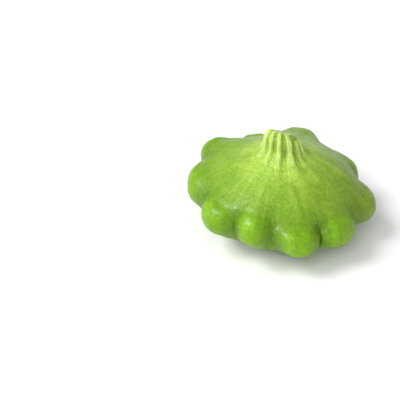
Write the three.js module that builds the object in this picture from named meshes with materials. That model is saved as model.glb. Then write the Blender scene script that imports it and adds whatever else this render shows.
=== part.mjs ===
// Pattypan squash: a low, scalloped summer squash with the stub of its stem, in millimetres, +Z up.
//
// The fruit is one solid. Its outline is turned about the stem's axis, and ten unequal lobes stand
// out of its rim as round knobs with a crease between neighbours. It rests on the flat blossom end.
// The stem is a stout ribbed stub, widest where it grew out of the crown, and cut at a slant.

import * as THREE from 'three';

// Driving dimensions
const FOOT_RADIUS = 13;       // flat of the blossom end, which the squash rests on
const SEAT_RADIUS = 13;       // flat under the stem
const SEAT_HEIGHT = 45;
const JOINT_GAP = 0.3;        // clearance between the fruit's seat and the stem's foot

const STEM_FOOT_RADIUS = 12.2;
const STEM_TOP_RADIUS = 5.6;
const STEM_LENGTH = 12.4;
const STEM_TAPER = 0.85;      // under 1 the stub bulges between its foot and its cut end
const STEM_RIBS = 5;
const STEM_RIB_DEPTH = 0.08;  // of the radius
const STEM_CUT_FALL_X = 0.3;  // fall of the cut face for each mm towards +X
const STEM_CUT_FALL_Y = 0.5;  // and towards +Y

const FIRST_CREASE = -26;     // degrees round from +X, where the first lobe starts
const KNOB_ROUNDNESS = 0.6;   // 0 gives soft waves round the rim, 1 half-round knobs
const RIM_TILT_X = 5.5;       // degrees that the rim falls towards +X
const RIM_TILT_Y = -2;        // degrees that the rim falls towards +Y

// The ten lobes in order round the rim: degrees wide, reach as a share of the outline's radius,
// and how far the lobe is raised.
const LOBES = [
  { width: 41, reach: 1.02, lift: 1.5 },
  { width: 40, reach: 1.0, lift: 2.5 },
  { width: 36, reach: 1.06, lift: 5.5 },
  { width: 29, reach: 1.01, lift: 0.5 },
  { width: 35, reach: 1.07, lift: 2.0 },
  { width: 42, reach: 1.01, lift: 1.0 },
  { width: 34, reach: 0.96, lift: 0.5 },
  { width: 30, reach: 0.9, lift: 4.5 },
  { width: 36, reach: 0.92, lift: 1.0 },
  { width: 37, reach: 0.92, lift: 1.0 },
];

// Outlines from the foot's edge, round the rim and up the dome to the seat's edge, as radius and
// height: one over the middle of a lobe, and one down the crease between two lobes.
const CREST_OUTLINE = [
  [FOOT_RADIUS, 0], [25.5, 3.6], [34, 8.2], [41, 11], [46, 14.6], [47.2, 20], [45.2, 25.4],
  [41, 28.4], [36, 31.3], [30, 35.4], [24, 39.3], [18.5, 42.5], [SEAT_RADIUS, SEAT_HEIGHT],
];
const CREASE_OUTLINE = [
  [FOOT_RADIUS, 0], [25.5, 3.6], [33, 8.4], [37.6, 12.4], [40, 16.5], [40.8, 20.6], [40.2, 24.4],
  [38.3, 28], [35, 31.5], [29.8, 35.5], [24, 39.3], [18.5, 42.5], [SEAT_RADIUS, SEAT_HEIGHT],
];

// Fineness of the solids
const COLUMNS_PER_LOBE = 12;
const OUTLINE_STEPS = 24;
const STEM_COLUMNS = 50;
const STEM_STEPS = 8;

const { clamp, degToRad, lerp } = THREE.MathUtils;

// Points along a smooth curve through an outline's corners.
function smoothOutline(corners) {
  const curve = new THREE.SplineCurve(corners.map(([radius, height]) => new THREE.Vector2(radius, height)));
  return curve.getPoints(OUTLINE_STEPS);
}

// The same outline closed onto the axis at both ends, by the flat foot and the flat seat.
function closedOutline(points) {
  const foot = new THREE.Vector2(0, points[0].y);
  const seat = new THREE.Vector2(0, points[points.length - 1].y);
  return [foot, ...points, seat];
}

// Which lobe a share of the turn falls in, how far across it (-1 to 1 from crease to crease), and
// the angle there. Columns crowd towards the creases, where the knobs turn in.
function lobeAt(turn) {
  const place = Math.min(turn * LOBES.length, LOBES.length - 1e-9);
  const index = Math.floor(place);
  const across = -Math.cos(Math.PI * (place - index));
  const start = LOBES.slice(0, index).reduce((sum, lobe) => sum + lobe.width, FIRST_CREASE);
  const angle = degToRad(start + LOBES[index].width * (across + 1) / 2);
  return { index, across, angle };
}

// A lobe's own value at its crest, easing to halfway towards the neighbour's at the crease.
function easedValue(key, index, across) {
  const neighbour = LOBES[(index + Math.sign(across) + LOBES.length) % LOBES.length];
  return lerp(LOBES[index][key], neighbour[key], 0.5 * across * across);
}

// How far a point stands from the crease's outline (0) towards the crest's (1).
function knobShare(across, rim) {
  const wave = Math.cos(Math.PI * across / 2) ** 2;
  const round = Math.sqrt(Math.max(0, 1 - across * across));
  return lerp(wave, round, KNOB_ROUNDNESS * rim);
}

function fruitGeometry() {
  const crest = closedOutline(smoothOutline(CREST_OUTLINE));
  const crease = closedOutline(smoothOutline(CREASE_OUTLINE));
  const geometry = new THREE.LatheGeometry(crest, LOBES.length * COLUMNS_PER_LOBE);
  const position = geometry.attributes.position;
  for (let vertex = 0; vertex < position.count; vertex += 1) {
    const row = vertex % crest.length;
    const column = Math.floor(vertex / crest.length) % (LOBES.length * COLUMNS_PER_LOBE);
    const { index, across, angle } = lobeAt(column / (LOBES.length * COLUMNS_PER_LOBE));
    const along = clamp((row - 1) / OUTLINE_STEPS, 0, 1);
    const rim = Math.sin(Math.PI * along) ** 2;
    const knob = knobShare(across, rim);
    const reach = lerp(1, easedValue('reach', index, across), rim);
    const radius = reach * lerp(crease[row].x, crest[row].x, knob);
    const x = radius * Math.cos(angle);
    const y = radius * Math.sin(angle);
    const fall = x * Math.tan(degToRad(RIM_TILT_X)) + y * Math.tan(degToRad(RIM_TILT_Y));
    const height = lerp(crease[row].y, crest[row].y, knob) + rim * (easedValue('lift', index, across) - fall);
    position.setXYZ(vertex, x, y, height);
  }
  return geometry;
}

function stemGeometry() {
  const taper = (share) => lerp(STEM_TOP_RADIUS, STEM_FOOT_RADIUS, (1 - share) ** STEM_TAPER);
  const outline = [new THREE.Vector2(0, 0)];
  for (let step = 0; step <= STEM_STEPS; step += 1) {
    const share = step / STEM_STEPS;
    outline.push(new THREE.Vector2(taper(share), STEM_LENGTH * share));
  }
  outline.push(new THREE.Vector2(0, STEM_LENGTH));
  const geometry = new THREE.LatheGeometry(outline, STEM_COLUMNS);
  const position = geometry.attributes.position;
  for (let vertex = 0; vertex < position.count; vertex += 1) {
    const { x: radius, y: rise } = outline[vertex % outline.length];
    const column = Math.floor(vertex / outline.length) % STEM_COLUMNS;
    const angle = 2 * Math.PI * column / STEM_COLUMNS;
    const ribbed = radius * (1 + STEM_RIB_DEPTH * Math.cos(STEM_RIBS * angle));
    const x = ribbed * Math.cos(angle);
    const y = ribbed * Math.sin(angle);
    const cutFall = (rise / STEM_LENGTH) ** 2 * (STEM_CUT_FALL_X * x + STEM_CUT_FALL_Y * y);
    position.setXYZ(vertex, x, y, rise - cutFall);
  }
  return geometry;
}

function fruit() {
  const skin = new THREE.MeshStandardMaterial({ color: '#93bd48', roughness: 0.4, metalness: 0 });
  const mesh = new THREE.Mesh(fruitGeometry(), skin);
  mesh.name = 'fruit';
  return mesh;
}

function stem() {
  const rind = new THREE.MeshStandardMaterial({ color: '#b4d568', roughness: 0.55, metalness: 0 });
  const mesh = new THREE.Mesh(stemGeometry(), rind);
  mesh.name = 'stem';
  mesh.position.z = SEAT_HEIGHT + JOINT_GAP;
  return mesh;
}

// The origin is under the middle of the whole squash, on the surface that it rests on.
function centred(squash) {
  const box = new THREE.Box3().setFromObject(squash);
  const middle = box.getCenter(new THREE.Vector3());
  squash.position.set(-middle.x, -middle.y, -box.min.z);
  return squash;
}

const squash = new THREE.Group();
squash.add(fruit(), stem());

const part = new THREE.Group();
part.add(centred(squash));

export default part;
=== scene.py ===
"""A pattypan squash as picked, standing on its blossom end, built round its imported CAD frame."""

import collections
import math

import bmesh
import bpy
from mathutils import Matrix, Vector, geometry, noise


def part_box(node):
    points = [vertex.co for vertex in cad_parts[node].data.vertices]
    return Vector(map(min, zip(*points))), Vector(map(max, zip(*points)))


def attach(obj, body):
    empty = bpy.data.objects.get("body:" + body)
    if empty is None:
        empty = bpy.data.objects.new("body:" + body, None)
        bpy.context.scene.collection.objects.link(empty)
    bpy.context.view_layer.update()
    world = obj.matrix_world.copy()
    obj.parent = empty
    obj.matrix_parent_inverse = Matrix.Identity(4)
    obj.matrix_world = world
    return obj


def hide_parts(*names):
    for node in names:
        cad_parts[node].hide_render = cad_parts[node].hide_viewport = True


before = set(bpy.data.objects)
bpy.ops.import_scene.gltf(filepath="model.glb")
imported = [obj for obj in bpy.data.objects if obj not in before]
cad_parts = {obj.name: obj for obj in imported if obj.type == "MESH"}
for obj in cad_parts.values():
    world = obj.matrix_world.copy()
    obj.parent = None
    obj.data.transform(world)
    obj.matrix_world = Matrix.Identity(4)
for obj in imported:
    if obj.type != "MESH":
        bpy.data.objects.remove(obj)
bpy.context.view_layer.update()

# ---------------------------------------------------------------------------------------------
# The fruit. One immature squash, grown in one piece: a low dome with ten unequal knobs round its
# rim and a corky scar underneath, where the flower dropped off. Its outline is turned about the
# stem's axis, then the knobs, ribs, veins, lumps and peel are moved out along the skin.
# ---------------------------------------------------------------------------------------------
MM = 0.001

# Lengths are in millimetres, and angles in degrees round from +X. The foot is lifted just clear
# of the floor, and the rim falls towards +X and rises a little towards +Y.
FOOT_RADIUS = 13.0
FOOT_RINGS = 26
FOOT_LIFT = 0.1
FIRST_CREASE = -26.0
RIM_TILT_X = math.radians(5.5)
RIM_TILT_Y = math.radians(-2.0)

# Each lobe's width in degrees, its reach as a share of the outline's radius and how far it is
# raised. Then how tight the crease before it is, from 0 for a wide valley to 1 for a narrow pit,
# how far its knob swells out and how far a vein stands up along its crest.
Lobe = collections.namedtuple("Lobe", "width reach lift tightness swell vein")
LOBES = (
    Lobe(41, 1.02, 1.5, 0.05, 0.5, 0.9),
    Lobe(40, 1.0, 2.5, 0.3, 0.6, 0.35),
    Lobe(36, 1.06, 5.5, 0.25, 0.6, 0.3),
    Lobe(29, 1.01, 0.5, 0.3, 0.8, 0.3),
    Lobe(35, 1.07, 2.0, 0.25, 0.6, 0.3),
    Lobe(42, 1.01, 1.0, 0.35, 0.4, 0.25),
    Lobe(34, 0.96, 0.5, 0.25, 0.7, 0.25),
    Lobe(30, 0.9, 4.5, 0.3, 0.9, 0.25),
    Lobe(36, 0.92, 1.0, 0.0, 1.2, 0.2),
    Lobe(37, 0.92, 1.0, 0.9, 0.7, 0.3),
)
COLUMNS_PER_LOBE = 36
STEPS_PER_CORNER = 16
CROWN_STEPS = 6

# How broad the crests beside a wide valley are, and its depth as a share of a pit's.
VALLEY_POWER = 1.4
VALLEY_DEPTH = 0.75

# A vein's width, and a knob's middle and half sizes, as shares of half a lobe and of the outline.
# A knob is full, gone and ringed by a slight hollow at these shares of the way out to its edge.
VEIN_WIDTH = 0.15
KNOB_MIDDLE = 0.42
KNOB_HALF_WIDTH = 0.85
KNOB_HALF_HEIGHT = 0.12
KNOB_SWELL = 1.35
KNOB_FULL = 0.25
KNOB_GONE = 1.2
HOLLOW_MIDDLE = 1.4
HOLLOW_WIDTH = 0.25
HOLLOW_DEPTH = 0.35

# Where features fade in and out, as shares of the way from the foot's edge up to the crown. The
# stem's ribs run on over the shoulder, and are gone at the first radius and full at the second.
SKIN_START = (0.0, 0.1)
PIT_START = (0.15, 0.3)
PIT_END = (0.53, 0.43)
KNOB_START = (0.2, 0.34)
KNOB_END = (0.64, 0.5)
VEIN_START = (0.56, 0.68)
SHOULDER_START = (0.6, 0.8)
SHOULDER_RADII = (26, 12)
SHOULDER_RIB_HEIGHT = 0.8

# Each wave of unevenness in the skin, as its size across and its height. The peel is smoother in
# the creases than on the knobs.
LUMPS = ((17, 0.5), (7, 0.3))
PEEL = ((3.6, 0.16), (2.0, 0.11))
PEEL_IN_CREASES = 0.6
PEEL_ON_KNOBS = 1.1

# The scar: a sunk disc with sloping sides, a dry rim inside them, a dot, and corky grain.
SCAR_RADIUS = 6.2
SCAR_DEPTH = 0.7
SCAR_SLOPE = 2.5
SCAR_RIM_RADIUS = SCAR_RADIUS - 0.9
SCAR_RIM_WIDTH = 0.8
SCAR_RIM_HEIGHT = 0.45
SCAR_DOT_WIDTH = 1.3
SCAR_DOT_HEIGHT = 0.3
CORK_SIZE = 0.9
CORK_HEIGHT = 0.12
CORK_EDGE = (9, 6)
FAR_FROM_SCAR = 50

# Radius and height over a lobe's crest and down a crease, from the foot's edge up to the crown.
CREST_OUTLINE = (
    (FOOT_RADIUS, 0), (25.5, 3.6), (34, 8.2), (41, 11), (46, 14.6), (47.2, 20), (45.2, 25.4),
    (41, 28.4), (36, 31.3), (30, 35.4), (24, 39.3), (18.5, 42.5), (13, 45),
)
CREASE_OUTLINE = (
    (FOOT_RADIUS, 0), (25.5, 3.6), (33, 8.4), (37.6, 12.4), (40, 16.5), (40.8, 20.6), (40.2, 24.4),
    (38.3, 28), (35, 31.5), (29.8, 35.5), (24, 39.3), (18.5, 42.5), (13, 45),
)
CROWN_OUTLINE = ((13, 45), (8, 46.4), (0, 46.8))

# The ribs that run down the stem and out over the shoulder: degrees round, how far each stands
# out, its half-width in degrees, and how far up the stem it reaches, as a share of its height.
# Past 1, a rib runs into the cut. Ribs that overlap are full where they add up to RIBS_FULL.
Rib = collections.namedtuple("Rib", "angle strength width top")
FULL_HEIGHT = 1.2
RIB_TOP_FADE = 0.12
RIBS_FULL = 1.15
RIBS = (
    Rib(20, 0.8, 10, FULL_HEIGHT),
    Rib(55, 1.0, 11, FULL_HEIGHT),
    Rib(92, 0.7, 9, FULL_HEIGHT),
    Rib(125, 1.0, 11, FULL_HEIGHT),
    Rib(160, 0.8, 9, FULL_HEIGHT),
    Rib(193, 1.0, 11, FULL_HEIGHT),
    Rib(225, 0.95, 10.5, FULL_HEIGHT),
    Rib(256, 1.0, 10, FULL_HEIGHT),
    Rib(290, 1.1, 11, FULL_HEIGHT),
    Rib(320, 0.8, 7.5, 0.88),
    Rib(342, 1.1, 9, 0.92),
)


def blend(low, high, share):
    """The value a share of the way from low to high."""
    return low + (high - low) * share


def smooth(low, high, value):
    """0 on low's side, 1 on high's side, and a soft step between."""
    share = min(max((value - low) / (high - low), 0.0), 1.0)
    return share * share * (3 - 2 * share)


def hump(middle, width, value):
    """1 at the middle, falling away to 0 over about twice the width."""
    return math.exp(-(((value - middle) / width) ** 2))


def uneven(point, waves):
    """Smooth noise at a point, added up from waves of (size across, height)."""
    return sum(height * noise.noise(point / size) for size, height in waves)


def curve_through(corners, steps):
    """Points of a smooth curve through the corners, of two values or three, steps to each span."""
    knots = [Vector(corner).to_3d() for corner in corners]
    points = [knots[0]]
    for index in range(len(knots) - 1):
        start, end = knots[index], knots[index + 1]
        before = knots[max(index - 1, 0)]
        after = knots[min(index + 2, len(knots) - 1)]
        leaving = start + (end - before) / 6
        arriving = end - (after - start) / 6
        points += geometry.interpolate_bezier(start, leaving, arriving, end, steps + 1)[1:]
    return points


def turned(outline, columns):
    """A closed surface spun from an outline of (radius, height, share of the way along) points."""
    shape = bmesh.new()
    along_layer = shape.verts.layers.float.new("along")
    points = []
    for radius, height, along in outline:
        point = shape.verts.new((radius, 0, height))
        point[along_layer] = along
        points.append(point)
    edges = [shape.edges.new(pair) for pair in zip(points, points[1:])]
    bmesh.ops.spin(
        shape, geom=points + edges, cent=(0, 0, 0), axis=(0, 0, 1), angle=2 * math.pi,
        steps=columns, use_merge=True,
    )
    bmesh.ops.remove_doubles(shape, verts=shape.verts, dist=1e-4)
    bmesh.ops.recalc_face_normals(shape, faces=shape.faces)
    return shape


def finished(shape, name, place, material):
    """Turns a millimetre mesh into a smooth object in metres, with place added to its mesh."""
    bmesh.ops.translate(shape, vec=place, verts=shape.verts)
    bmesh.ops.scale(shape, vec=(MM, MM, MM), verts=shape.verts)
    for face in shape.faces:
        face.smooth = True
    data = bpy.data.meshes.new(name)
    shape.to_mesh(data)
    shape.free()
    data.materials.append(material)
    piece = bpy.data.objects.new(name, data)
    bpy.context.scene.collection.objects.link(piece)
    return piece


def ribs_at(degrees, share):
    """How far the ribs stand out, from 0 in a groove to about 1, a share of the way up the stem."""
    total = 0.0
    for rib in RIBS:
        away = (degrees - rib.angle + 180) % 360 - 180
        faded = smooth(rib.top - RIB_TOP_FADE, rib.top, share)
        total += rib.strength * hump(0, rib.width, away) * (1 - faded)
    return smooth(0, RIBS_FULL, total)


def lobe_at(turn):
    """The lobe that a share of the turn falls in, how far across it (-1 to 1), and the angle."""
    place = min(turn * len(LOBES), len(LOBES) - 1e-9)
    index = int(place)
    across = -math.cos(math.pi * (place - index))
    start = FIRST_CREASE + sum(lobe.width for lobe in LOBES[:index])
    return index, across, start + LOBES[index].width * (across + 1) / 2


def eased(feature, index, across):
    """A lobe's own value at its crest, easing to halfway to its neighbour's at the crease."""
    neighbour = LOBES[(index + (1 if across > 0 else -1)) % len(LOBES)]
    share = 0.5 * across * across
    return blend(getattr(LOBES[index], feature), getattr(neighbour, feature), share)


def knob_share(index, across, along):
    """How much of the way from crease to crest the skin stands, from 0 to 1."""
    crease_after = LOBES[(index + 1) % len(LOBES)].tightness
    tightness = blend(LOBES[index].tightness, crease_after, (across + 1) / 2)
    low = smooth(*PIT_START, along) * smooth(*PIT_END, along)
    wave = math.cos(math.pi * abs(across) ** VALLEY_POWER / 2) ** 2
    ball = math.sqrt(max(0.0, 1 - across * across))
    depth = blend(VALLEY_DEPTH, 1, tightness)
    return 1 - depth * (1 - blend(wave, ball, tightness * low))


crest = curve_through(CREST_OUTLINE, STEPS_PER_CORNER)
crease = curve_through(CREASE_OUTLINE, STEPS_PER_CORNER)
last_row = len(crest) - 1
outline = [(FOOT_RADIUS * ring / FOOT_RINGS, 0, 0) for ring in range(FOOT_RINGS)]
outline += [(point.x, point.y, row / last_row) for row, point in enumerate(crest)]
outline += [(point.x, point.y, 1) for point in curve_through(CROWN_OUTLINE, CROWN_STEPS)[1:]]

fruit_shape = turned(outline, COLUMNS_PER_LOBE * len(LOBES))
along_layer = fruit_shape.verts.layers.float["along"]
knob_layer = fruit_shape.verts.layers.float.new("knob")
crease_shade_layer = fruit_shape.verts.layers.float.new("crease")
scar_layer = fruit_shape.verts.layers.float.new("scar")
rib_layer = fruit_shape.verts.layers.float.new("rib")
swell_layer = fruit_shape.verts.layers.float.new("swell")

for vert in fruit_shape.verts:
    turn = (math.atan2(vert.co.y, vert.co.x) / (2 * math.pi)) % 1.0
    index, across, degrees = lobe_at(turn)
    along = vert[along_layer]
    row = round(along * last_row)
    rim = math.sin(math.pi * along) ** 2
    knob = knob_share(index, across, along)
    radius, height = math.hypot(vert.co.x, vert.co.y), vert.co.z
    if 0 < along < 1:
        radius = blend(crease[row].x, crest[row].x, knob) * blend(1, eased("reach", index, across), rim)
        height = blend(crease[row].y, crest[row].y, knob)
    x = radius * math.cos(math.radians(degrees))
    y = radius * math.sin(math.radians(degrees))
    fall = x * math.tan(RIM_TILT_X) + y * math.tan(RIM_TILT_Y)
    vert.co = (x, y, height + rim * (eased("lift", index, across) - fall))
    outermost = smooth(*KNOB_START, along) * smooth(*KNOB_END, along)
    shoulder = smooth(*SHOULDER_RADII, radius) * smooth(*SHOULDER_START, along)
    vein = hump(0, VEIN_WIDTH, across) * smooth(*VEIN_START, along) * eased("vein", index, across)
    vert[knob_layer] = outermost * knob
    # How deep in a crease, which the skin's colour uses for painted shade.
    vert[crease_shade_layer] = outermost * (1 - knob)
    vert[scar_layer] = radius if along < 0.5 else FAR_FROM_SCAR
    vert[rib_layer] = SHOULDER_RIB_HEIGHT * ribs_at(degrees, 0) * shoulder + vein
    from_middle = math.hypot(across / KNOB_HALF_WIDTH, (along - KNOB_MIDDLE) / KNOB_HALF_HEIGHT)
    hollow = HOLLOW_DEPTH * hump(HOLLOW_MIDDLE, HOLLOW_WIDTH, from_middle)
    rise = smooth(KNOB_GONE, KNOB_FULL, from_middle) - hollow
    vert[swell_layer] = rise * eased("swell", index, across)

# The middle of the smooth fruit, which is put where the CAD fruit's middle is.
xs = [vert.co.x for vert in fruit_shape.verts]
ys = [vert.co.y for vert in fruit_shape.verts]
grown_middle = Vector((min(xs) + max(xs), min(ys) + max(ys), 0)) / 2

# The knobs, ribs, veins, lumps and peel stand out along the skin. On the foot the scar is sunk
# upwards, and its rim and dot stand back down.
fruit_shape.normal_update()
moves = []
for vert in fruit_shape.verts:
    outside = smooth(*SKIN_START, vert[along_layer])
    peel = uneven(vert.co, PEEL) * blend(PEEL_IN_CREASES, PEEL_ON_KNOBS, vert[knob_layer])
    out = uneven(vert.co, LUMPS) + peel + KNOB_SWELL * vert[swell_layer]
    scar = vert[scar_layer]
    sunk = SCAR_DEPTH * smooth(SCAR_RADIUS + SCAR_SLOPE, SCAR_RADIUS, scar)
    scar_rim = SCAR_RIM_HEIGHT * hump(SCAR_RIM_RADIUS, SCAR_RIM_WIDTH, scar)
    dot = SCAR_DOT_HEIGHT * hump(0, SCAR_DOT_WIDTH, scar)
    cork = CORK_HEIGHT * abs(noise.noise(vert.co / CORK_SIZE)) * smooth(*CORK_EDGE, scar)
    up = FOOT_LIFT + sunk - scar_rim - dot + cork
    outwards = vert.normal * (out * outside + vert[rib_layer])
    moves.append(outwards + Vector((0, 0, up)) * (1 - outside))
for vert, move in zip(fruit_shape.verts, moves):
    vert.co += move


def linear(colour):
    """An sRGB hex colour as linear RGBA."""
    channels = [int(colour[start:start + 2], 16) / 255 for start in (1, 3, 5)]
    return [c / 12.92 if c <= 0.04045 else ((c + 0.055) / 1.055) ** 2.4 for c in channels] + [1.0]


def per(size):
    """The texture scale that gives features about size millimetres across."""
    return 1 / (size * MM)


def add(tree, kind, inputs, output=0, **settings):
    """Adds a node and returns one output; each input takes a value or a socket to link from."""
    node = tree.nodes.new(kind)
    for name, value in settings.items():
        setattr(node, name, value)
    for key, value in inputs.items():
        if isinstance(value, bpy.types.NodeSocket):
            tree.links.new(value, node.inputs[key])
        else:
            node.inputs[key].default_value = value
    return node.outputs[output]


def painted(tree, colour, coats):
    """Colour with each coat laid over it: a pattern, where it starts and is full, how much, a tint."""
    for pattern, start, full, amount, tint in coats:
        reach = {"Value": pattern, "From Min": start, "From Max": full, "To Max": amount}
        share = add(tree, "ShaderNodeMapRange", reach)
        under, over = (linear(each) if isinstance(each, str) else each for each in (colour, tint))
        # Numbers, because a mix node has sockets of the same names for each data type.
        colour = add(tree, "ShaderNodeMix", {0: share, 6: under, 7: over}, 2, data_type="RGBA")
    return colour


def new_material(name):
    """A material with its node tree, its Principled shader and the object's coordinates."""
    material = bpy.data.materials.new(name)
    material.use_nodes = True
    tree = material.node_tree
    place = add(tree, "ShaderNodeTexCoord", {}, "Object")
    return material, tree, tree.nodes["Principled BSDF"], place


# Waxy squash skin, smooth but finely pored, lightly flecked and streaked out from the stem. The
# wax gives a soft sheen that the pores break up, and the wet flesh under it lets light through.
# Real grain, flecks and pores are finer, and are drawn this coarse so that they show.
BLOTCH_SIZE = 9
STREAK_SPACING = 2.3
STREAKS_MEASURED_AT = 30.0
GRAIN_SIZE = 1.6
FLECK_SPACING = 1.9
PORE_SPACING = 1.3
PORE_DEPTH = 0.45
PORE_DEPTH_IN_WAX = 0.14
# Where the painted shade on the +X side starts and is full, in millimetres.
SHADED_SIDE_START = 26
SHADED_SIDE_FULL = 48
LIGHT_DEPTH = 1.5

skin, tree, shader, place = new_material("waxy_squash_skin")
along, knob, crease, rib, scar = (
    add(tree, "ShaderNodeAttribute", {}, "Fac", attribute_name=name)
    for name in ("along", "knob", "crease", "rib", "scar")
)
blotches = add(
    tree, "ShaderNodeTexNoise",
    {"Vector": place, "Scale": per(BLOTCH_SIZE), "Detail": 5.0, "Roughness": 0.65},
)
# This noise is read by direction alone, nearly flat, which draws its spots out into streaks.
flatten = (1, 1, 0.06)
flattened = add(tree, "ShaderNodeVectorMath", {0: place, 1: flatten}, operation="MULTIPLY")
outward = add(tree, "ShaderNodeVectorMath", {0: flattened}, operation="NORMALIZE")
streak_scale = STREAKS_MEASURED_AT / STREAK_SPACING
streaks = add(
    tree, "ShaderNodeTexNoise",
    {"Vector": outward, "Scale": streak_scale, "Detail": 4.0, "Roughness": 0.6},
)
grain = add(
    tree, "ShaderNodeTexNoise",
    {"Vector": place, "Scale": per(GRAIN_SIZE), "Detail": 5.0, "Roughness": 0.75},
)
flecks = add(tree, "ShaderNodeTexVoronoi", {"Vector": place, "Scale": per(FLECK_SPACING)}, "Distance")

# How far towards +X. That side is painted duller and more olive, as painted shade away from the
# key light on -X and a painted grey reflection where the skin is seen at a grazing angle.
shaded_side = add(tree, "ShaderNodeSeparateXYZ", {0: place})

colour = painted(tree, "#62840f", (
    (along, 0.1, 0.5, 1.0, "#6a8f1c"),
    (along, 0.55, 0.85, 1.0, "#8cb034"),
    (along, 0.82, 1.0, 1.0, "#9ebf4b"),
    (knob, 0.0, 1.0, 0.85, "#7cab10"),
    # Painted shade: the creases between the knobs are painted dark green.
    (crease, 0.0, 1.0, 0.6, "#42620d"),
    # The ribs and veins are painted paler: partly the skin's own colour, partly painted highlight.
    (rib, 0.0, 1.0, 0.22, "#bdd768"),
    (blotches, 0.42, 0.66, 0.5, "#618e10"),
    # Painted shade and a painted grey reflection on the +X side.
    (shaded_side, SHADED_SIDE_START * MM, SHADED_SIDE_FULL * MM, 0.55, "#758238"),
))
mottle = add(tree, "ShaderNodeMath", {0: streaks, 1: 0.5, 2: grain}, operation="MULTIPLY_ADD")
brightness = add(
    tree, "ShaderNodeMapRange",
    {"Value": mottle, "From Min": 0.5, "From Max": 1.0, "To Min": 0.72, "To Max": 1.28},
)
colour = add(tree, "ShaderNodeHueSaturation", {"Color": colour, "Value": brightness})

# The scar's pale rays, the dry rim round it, its corky disc and the dot in its middle.
beside_scar = add(
    tree, "ShaderNodeMapRange", {"Value": scar, "From Min": FOOT_RADIUS, "From Max": SCAR_RADIUS}
)
rays = add(tree, "ShaderNodeMath", {0: beside_scar, 1: streaks}, operation="MULTIPLY")
cork = painted(tree, "#b99f52", ((grain, 0.3, 0.7, 1.0, "#e3d68e"),))
colour = painted(tree, colour, (
    (flecks, 0.25, 0.05, 0.3, "#c3da78"),
    (rays, 0.1, 0.5, 0.8, "#b9c866"),
    (scar, SCAR_RADIUS + 0.5, SCAR_RADIUS, 0.9, "#8a7d3a"),
    (scar, SCAR_RADIUS - 0.2, SCAR_RADIUS - 0.8, 1.0, cork),
    (scar, 2.0, 1.0, 0.85, "#8c7440"),
))
tree.links.new(colour, shader.inputs["Base Color"])

# The wax fills the pores in part, so its gloss is less broken than the skin under it.
pores = add(
    tree, "ShaderNodeTexNoise",
    {"Vector": place, "Scale": per(PORE_SPACING), "Detail": 4.0, "Roughness": 0.6},
)
dimples = add(tree, "ShaderNodeBump", {"Height": pores, "Strength": 1.0, "Distance": PORE_DEPTH * MM})
tree.links.new(dimples, shader.inputs["Normal"])
wax = add(
    tree, "ShaderNodeBump", {"Height": pores, "Strength": 1.0, "Distance": PORE_DEPTH_IN_WAX * MM}
)
tree.links.new(wax, shader.inputs["Coat Normal"])
shader.inputs["Roughness"].default_value = 0.42
shader.inputs["IOR"].default_value = 1.4
shader.inputs["Specular IOR Level"].default_value = 0.25
shader.inputs["Subsurface Weight"].default_value = 0.15
shader.inputs["Subsurface Radius"].default_value = (0.6, 1.0, 0.2)
shader.inputs["Subsurface Scale"].default_value = LIGHT_DEPTH * MM
shader.inputs["Coat Weight"].default_value = 0.16
shader.inputs["Coat Roughness"].default_value = 0.17

# The stem's axis, worked out from the CAD fruit's box, because the fruit isn't even round it.
fruit_low, fruit_high = (Vector(corner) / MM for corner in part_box("fruit"))
stem_axis = (fruit_low + fruit_high) / 2 - grown_middle
stem_axis.z = 0
fruit = finished(fruit_shape, "squash_fruit", stem_axis, skin)
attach(fruit, "root")
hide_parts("fruit")

# ---------------------------------------------------------------------------------------------
# The stem. A stout stub of fibrous stalk, left on when the squash was cut off its plant. It is
# ribbed from end to end, flares into the shoulder that it grew from, and its cut end dries pale.
# ---------------------------------------------------------------------------------------------
STEM_COLUMNS = 360
STEM_STEPS_PER_CORNER = 12
# Radius, height, and how far the ribs stand out there, from under the skin up to the cut.
STEM_OUTLINE = (
    (19, 41.6, 0.6), (15.4, 43.7, 0.9), (12.6, 45.6, 1.2), (10.5, 47.8, 1.5), (9.3, 50.2, 1.6),
    (8.9, 52, 1.8), (8.4, 54.2, 1.8), (7.2, 56.2, 1.6), (5.4, 57.6, 1.0),
)
STEM_FOOT_RADIUS, STEM_FOOT_HEIGHT = STEM_OUTLINE[0][:2]
CUT_RADIUS, CUT_HEIGHT = STEM_OUTLINE[-1][:2]
CUT_RINGS = 13

# How far the cut falls for each millimetre towards +X and +Y. Its rim and the start of its torn
# pith are shares of the way in, and the pith is sunk and torn by millimetres.
CUT_FALL_X = 0.3
CUT_FALL_Y = 0.5
CUT_RIM = 0.3
CUT_HOLLOW = 0.5
TORN_START = 0.2
TORN_SIZE = 1.4
TORN_HEIGHT = 0.4

# The tip leans towards -X. The outline runs between the ribs' ridges and the grooves, and strands
# and bends make the stem uneven round it and up it.
STEM_LEAN = -1.0
LEAN_POWER = 1.5
RIB_MIDDLE = 0.35
STRAND_FINENESS = 8
STRAND_LENGTH = 14
STRAND_HEIGHT = 0.6
BEND_SIZE = 5.5
BEND_ACROSS = 0.3
BEND_UP = 0.4

stem_points = curve_through(STEM_OUTLINE, STEM_STEPS_PER_CORNER)
stem_rows = len(stem_points) - 1
hidden_foot = [(0, STEM_FOOT_HEIGHT, 0), (STEM_FOOT_RADIUS / 2, STEM_FOOT_HEIGHT, 0)]
side = [(point.x, point.y, row / stem_rows) for row, point in enumerate(stem_points)]
cut_face = [(CUT_RADIUS * (1 - ring / CUT_RINGS), CUT_HEIGHT, 1) for ring in range(1, CUT_RINGS + 1)]

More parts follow.
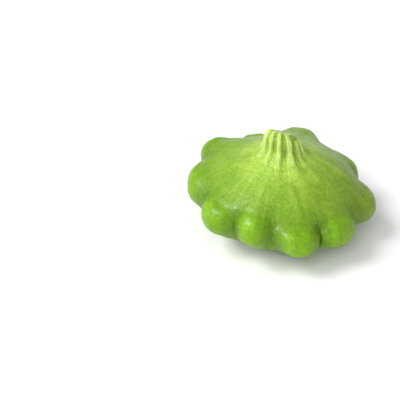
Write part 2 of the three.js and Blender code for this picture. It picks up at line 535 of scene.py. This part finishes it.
stem_shape = turned(hidden_foot + side + cut_face, STEM_COLUMNS)
along_layer = stem_shape.verts.layers.float["along"]
groove_layer = stem_shape.verts.layers.float.new("groove")
cut_layer = stem_shape.verts.layers.float.new("cut")
for vert in stem_shape.verts:
    radius = math.hypot(vert.co.x, vert.co.y)
    degrees = math.degrees(math.atan2(vert.co.y, vert.co.x)) % 360
    along = vert[along_layer]
    inside_cut = 1 - radius / CUT_RADIUS if along == 1 else 0
    rib = ribs_at(degrees, along)
    around = Vector((math.cos(math.radians(degrees)), math.sin(math.radians(degrees)), 0))
    strand = noise.noise(around * STRAND_FINENESS + Vector((0, 0, vert.co.z / STRAND_LENGTH)))
    bend = noise.noise(vert.co / BEND_SIZE)
    rib_height = stem_points[round(along * stem_rows)].z * (1 - inside_cut)
    out = rib_height * (rib - RIB_MIDDLE) + STRAND_HEIGHT * strand + BEND_ACROSS * bend
    spread = 1 + out / max(radius, CUT_RADIUS)
    x, y = vert.co.x * spread, vert.co.y * spread
    fall = along ** 2 * (CUT_FALL_X * x + CUT_FALL_Y * y)
    hollow = CUT_HOLLOW * smooth(0, CUT_RIM, inside_cut)
    torn = TORN_HEIGHT * noise.noise(vert.co / TORN_SIZE) * smooth(0, TORN_START, inside_cut)
    z = vert.co.z - fall - hollow - torn + BEND_UP * bend * along
    vert.co = (x + STEM_LEAN * along ** LEAN_POWER, y, z)
    vert[groove_layer] = 1 - rib
    vert[cut_layer] = inside_cut

# Fibrous squash stalk, ribbed, drier than the skin and nearly matt. Its ridges are pale, partly its
# own colour and partly painted highlight, against grooves painted greener and darker, partly its
# own colour and partly painted shade, and the cut shows pale pith inside a green ring. Real fibres
# and bristles are finer, and are drawn this coarse so that they show.
FIBRE_SPACING = 0.9
FIBRE_LENGTH = 7.5
FIBRE_DEPTH = 0.5
BRISTLE_SPACING = 1.5

rind, tree, shader, place = new_material("fibrous_squash_stalk")
along, groove, cut = (
    add(tree, "ShaderNodeAttribute", {}, "Fac", attribute_name=name)
    for name in ("along", "groove", "cut")
)
stretch = (1, 1, FIBRE_SPACING / FIBRE_LENGTH)
stretched = add(tree, "ShaderNodeVectorMath", {0: place, 1: stretch}, operation="MULTIPLY")
fibres = add(
    tree, "ShaderNodeTexNoise",
    {"Vector": stretched, "Scale": per(FIBRE_SPACING), "Detail": 4.0, "Roughness": 0.6},
)
bristles = add(tree, "ShaderNodeTexVoronoi", {"Vector": place, "Scale": per(BRISTLE_SPACING)}, "Distance")
pith = painted(tree, "#a9b760", ((fibres, 0.35, 0.65, 1.0, "#d9e2a2"),))
# The stalk's pale ground shows on the ridges, and is partly painted highlight.
colour = painted(tree, "#bdd66e", (
    # The grooves are greener and darker, partly the stalk's own colour and partly painted shade.
    (groove, 0.15, 0.85, 1.0, "#83a530"),
    (along, 0.5, 0.2, 1.0, "#9cbf46"),
    (bristles, 0.3, 0.1, 0.45, "#dceba0"),
))
strands = add(
    tree, "ShaderNodeMapRange",
    {"Value": fibres, "From Min": 0.3, "From Max": 0.7, "To Min": 0.72, "To Max": 1.28},
)
colour = add(tree, "ShaderNodeHueSaturation", {"Color": colour, "Value": strands})
colour = painted(tree, colour, ((cut, 0.08, 0.22, 1.0, pith),))
tree.links.new(colour, shader.inputs["Base Color"])
rough_fibres = add(
    tree, "ShaderNodeBump", {"Height": fibres, "Strength": 1.0, "Distance": FIBRE_DEPTH * MM}
)
tree.links.new(rough_fibres, shader.inputs["Normal"])
shader.inputs["Roughness"].default_value = 0.5
shader.inputs["IOR"].default_value = 1.4
shader.inputs["Subsurface Weight"].default_value = 0.15
shader.inputs["Subsurface Radius"].default_value = (0.6, 1.0, 0.2)
shader.inputs["Subsurface Scale"].default_value = LIGHT_DEPTH * MM

stem = finished(stem_shape, "squash_stem", stem_axis, rind)
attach(stem, "root")
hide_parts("stem")

# ---------------------------------------------------------------------------------------------
# The studio. A wide sheet of white paper, a soft key light high on the left with a weaker one
# below it, a softer fill from the front, a small light that only puts glints on the knobs, and an
# even white surround.
# ---------------------------------------------------------------------------------------------
FLOOR_METRES = 12.0
# The surround lights the squash softly, and is as white as the paper to look at.
SURROUND_LIGHT = 0.46
SURROUND_SEEN = 1.0

floor_shape = bmesh.new()
bmesh.ops.create_grid(floor_shape, x_segments=1, y_segments=1, size=FLOOR_METRES / 2)
floor_data = bpy.data.meshes.new("floor")
floor_shape.to_mesh(floor_data)
floor_shape.free()
# Matt white paper, lit nearly to white, so that only the squash's shadow shows on it.
paper, _, shader, _ = new_material("matt_white_paper")
shader.inputs["Base Color"].default_value = linear("#f0f0f0")
shader.inputs["Roughness"].default_value = 0.9
shader.inputs["Specular IOR Level"].default_value = 0.0
floor_data.materials.append(paper)
floor = bpy.data.objects.new("floor", floor_data)
bpy.context.scene.collection.objects.link(floor)

world = bpy.data.worlds.new("white_surround")
bpy.context.scene.world = world
world.use_nodes = True
seen = add(world.node_tree, "ShaderNodeLightPath", {}, "Is Camera Ray")
strengths = {"Value": seen, "To Min": SURROUND_LIGHT, "To Max": SURROUND_SEEN}
strength = add(world.node_tree, "ShaderNodeMapRange", strengths)
background = world.node_tree.nodes["Background"]
background.inputs["Color"].default_value = (1, 1, 1, 1)
world.node_tree.links.new(strength, background.inputs["Strength"])


def studio_light(name, source, width, strength, lights=True, glints=True):
    """A soft light, width degrees wide, that lights the squash, shows in its gloss, or does both."""
    light = bpy.data.lights.new(name, "SUN")
    light.angle = math.radians(width)
    light.energy = strength
    lamp = bpy.data.objects.new(name, light)
    lamp.rotation_euler = Vector(source).to_track_quat("Z", "Y").to_euler()
    lamp.visible_diffuse = lights
    lamp.visible_glossy = glints
    bpy.context.scene.collection.objects.link(lamp)


studio_light("key_light", (-0.62, -0.1, 0.78), 26, 2.0)
studio_light("low_side_light", (-0.85, -0.15, 0.45), 9, 0.48)
studio_light("front_fill", (-0.25, -0.72, 0.64), 45, 1.42, glints=False)
studio_light("glint_light", (-0.66, -0.5, 0.55), 8, 3.2, lights=False)

bpy.context.scene.view_settings.view_transform = "Standard"

# The camera looks along +Y from above, with the squash right of the middle of the view.
FOCAL_LENGTH = 100
ELEVATION = math.radians(35.5)
DISTANCE = 583.6 * MM
SUBJECT_RIGHT = 41.6 * MM
SUBJECT_BELOW = 12.1 * MM

right = Vector((1, 0, 0))
up = Vector((0, math.sin(ELEVATION), math.cos(ELEVATION)))
forward = Vector((0, math.cos(ELEVATION), -math.sin(ELEVATION)))
camera_data = bpy.data.cameras.new("camera")
camera_data.lens = FOCAL_LENGTH
camera = bpy.data.objects.new("camera", camera_data)
camera.location = up * SUBJECT_BELOW - right * SUBJECT_RIGHT - forward * DISTANCE
camera.rotation_euler = (math.pi / 2 - ELEVATION, 0, 0)
bpy.context.scene.collection.objects.link(camera)
bpy.context.scene.camera = camera
